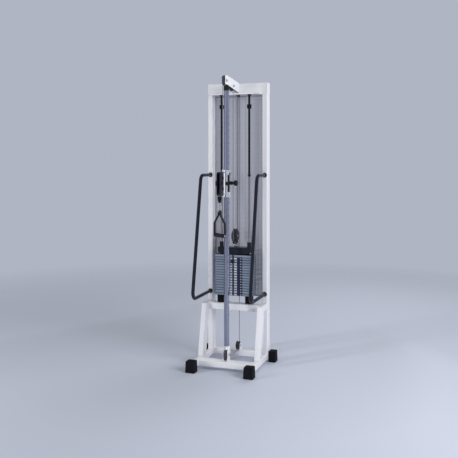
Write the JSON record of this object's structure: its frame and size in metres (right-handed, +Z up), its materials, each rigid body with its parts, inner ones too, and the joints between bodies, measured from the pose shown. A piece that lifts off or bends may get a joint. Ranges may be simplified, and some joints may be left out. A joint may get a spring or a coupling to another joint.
{
  "type": "rehab cable machine",
  "caption": "Free-standing cable column with a selector weight stack, a carriage that slides on a round mast, a swivel pulley block and a stirrup handle.",
  "frame": {"origin": "on the floor, under the middle of the machine's box", "axes": "+Z up, -Y towards the user who stands in front, +X to the right seen from the front"},
  "size_m": [0.616, 0.553, 2.23],
  "materials": {
    "white_paint": "satin powder coat",
    "grey_panel": "perforated, satin",
    "chrome": "polished",
    "black_rubber": "matt",
    "black_plastic": "satin",
    "black_paint": "gloss",
    "weight_steel": "satin",
    "cable_coat": "smoked plastic over steel strands",
    "webbing": "woven"
  },
  "bodies": {
    "frame": {"front_beam": "white_paint", "rear_beam": "white_paint", "side_beam_left": "white_paint", "side_beam_right": "white_paint", "foot_front_left": "black_rubber", "foot_front_right": "black_rubber", "foot_rear_left": "black_rubber", "foot_rear_right": "black_rubber", "leg_left": "white_paint", "leg_right": "white_paint", "crossbeam": "white_paint", "upright_left": "white_paint", "upright_right": "white_paint", "top_beam": "white_paint", "back_panel": "grey_panel", "bracket_plate_left": "white_paint", "bracket_plate_right": "white_paint", "mast": "chrome", "mast_head": "black_plastic", "mast_shoe": "white_paint", "crown_bracket": "black_paint", "base_rear_bracket": "white_paint", "guide_rod_left": "chrome", "guide_rod_right": "chrome", "rod_stop_left": "black_rubber", "rod_stop_right": "black_rubber", "buffer_left": "black_rubber", "buffer_right": "black_rubber", "weight_plates_resting": "weight_steel", "grab_bar_left": "black_paint", "grab_bar_right": "black_paint", "cable_top": "cable_coat", "cable_back": "cable_coat", "cable_drop": "cable_coat", "cable_fall": "cable_coat", "cable_rise": "cable_coat", "cable_lift": "cable_coat"},
    "wheel_top_front": {"pulley_top_front": "black_plastic"},
    "wheel_top_rear": {"pulley_top_rear": "black_plastic"},
    "wheel_crown": {"pulley_crown": "black_plastic"},
    "wheel_base_rear": {"pulley_base_rear": "black_plastic"},
    "wheel_base_front": {"pulley_base_front": "black_plastic"},
    "stack": {"weight_plates_lifted": "weight_steel", "head_plate": "black_paint", "selector_rod": "chrome", "pulley_yoke": "black_paint", "cable_float": "cable_coat"},
    "wheel_float": {"pulley_float": "black_plastic"},
    "selector": {"selector_pin": "black_plastic"},
    "carriage": {"carriage_sleeve": "chrome"},
    "puller": {"pull_pin": "black_plastic"},
    "block": {"block_frame": "black_paint", "cable_block": "cable_coat", "cable_hand": "cable_coat"},
    "wheel_block_upper": {"block_pulley_upper": "black_plastic"},
    "wheel_block_lower": {"block_pulley_lower": "black_plastic"},
    "handle": {"cable_stopper": "black_rubber", "spring_hook": "chrome"},
    "stirrup": {"handle_strap": "webbing"},
    "grip": {"handle_grip": "black_rubber"}
  },
  "joints": [
    {"name": "stack_lift", "type": "slide", "parent": "frame", "child": "stack", "axis": [0, 0, 1], "range_m": [0, 0.475], "deforming": ["cable_fall", "cable_rise"]},
    {"name": "carriage_slide", "type": "slide", "parent": "frame", "child": "carriage", "axis": [0, 0, 1], "range_m": [-0.95, 0.6], "deforming": ["cable_drop", "cable_lift"]},
    {"name": "pin_pull", "type": "slide", "parent": "carriage", "child": "puller", "axis": [1, 0, 0], "range_m": [0, 0.012], "stiffness_N_per_m": 600, "springref_m": -0.01},
    {"name": "block_swivel", "type": "hinge", "parent": "carriage", "child": "block", "pos_m": [0, -0.16, 1.417], "axis": [0, 0, 1], "range_deg": [-70, 70]},
    {"name": "selector_slide", "type": "slide", "parent": "stack", "child": "selector", "axis": [0, -1, 0], "range_m": [0, 0.066]},
    {"name": "handle_pull", "type": "slide", "parent": "block", "child": "handle", "axis": [0, 0, -1], "range_m": [0, 0.95], "deforming": ["cable_hand"]},
    {"name": "stirrup_swing", "type": "hinge", "parent": "handle", "child": "stirrup", "pos_m": [0, -0.231, 1.206], "axis": [0.5736, 0.8192, 0], "range_deg": [-15, 15]},
    {"name": "grip_spin", "type": "hinge", "parent": "stirrup", "child": "grip", "pos_m": [0, -0.231, 1.034], "axis": [0.8192, -0.5736, 0], "continuous": true},
    {"name": "top_front_spin", "type": "hinge", "parent": "frame", "child": "wheel_top_front", "pos_m": [0, -0.1225, 2.19], "axis": [1, 0, 0], "continuous": true},
    {"name": "top_rear_spin", "type": "hinge", "parent": "frame", "child": "wheel_top_rear", "pos_m": [0, 0.0435, 2.165], "axis": [1, 0, 0], "continuous": true},
    {"name": "float_spin", "type": "hinge", "parent": "stack", "child": "wheel_float", "pos_m": [0, 0.1345, 0.994], "axis": [1, 0, 0], "continuous": true},
    {"name": "block_upper_spin", "type": "hinge", "parent": "block", "child": "wheel_block_upper", "pos_m": [0, -0.1955, 1.457], "axis": [1, 0, 0], "continuous": true},
    {"name": "block_lower_spin", "type": "hinge", "parent": "block", "child": "wheel_block_lower", "pos_m": [0, -0.1955, 1.377], "axis": [1, 0, 0], "continuous": true},
    {"name": "crown_spin", "type": "hinge", "parent": "frame", "child": "wheel_crown", "pos_m": [0, 0.212, 2.118], "axis": [1, 0, 0], "continuous": true},
    {"name": "base_rear_spin", "type": "hinge", "parent": "frame", "child": "wheel_base_rear", "pos_m": [0, 0.2055, 0.112], "axis": [1, 0, 0], "continuous": true},
    {"name": "base_front_spin", "type": "hinge", "parent": "frame", "child": "wheel_base_front", "pos_m": [0, -0.075, 0.1125], "axis": [1, 0, 0], "continuous": true}
  ],
  "couplings": [
    {"joint": "handle_pull", "follows": "stack_lift", "ratio": 2},
    {"joint": "top_front_spin", "follows": "stack_lift", "rad_per_m": 53.333},
    {"joint": "top_rear_spin", "follows": "stack_lift", "rad_per_m": 53.333},
    {"joint": "float_spin", "follows": "stack_lift", "rad_per_m": -18.692},
    {"joint": "block_upper_spin", "follows": "stack_lift", "rad_per_m": -56.338},
    {"joint": "block_lower_spin", "follows": "stack_lift", "rad_per_m": 56.338},
    {"joint": "crown_spin", "follows": "carriage_slide", "rad_per_m": -41.667},
    {"joint": "base_rear_spin", "follows": "carriage_slide", "rad_per_m": -32.787},
    {"joint": "base_front_spin", "follows": "carriage_slide", "rad_per_m": -26.667}
  ]
}
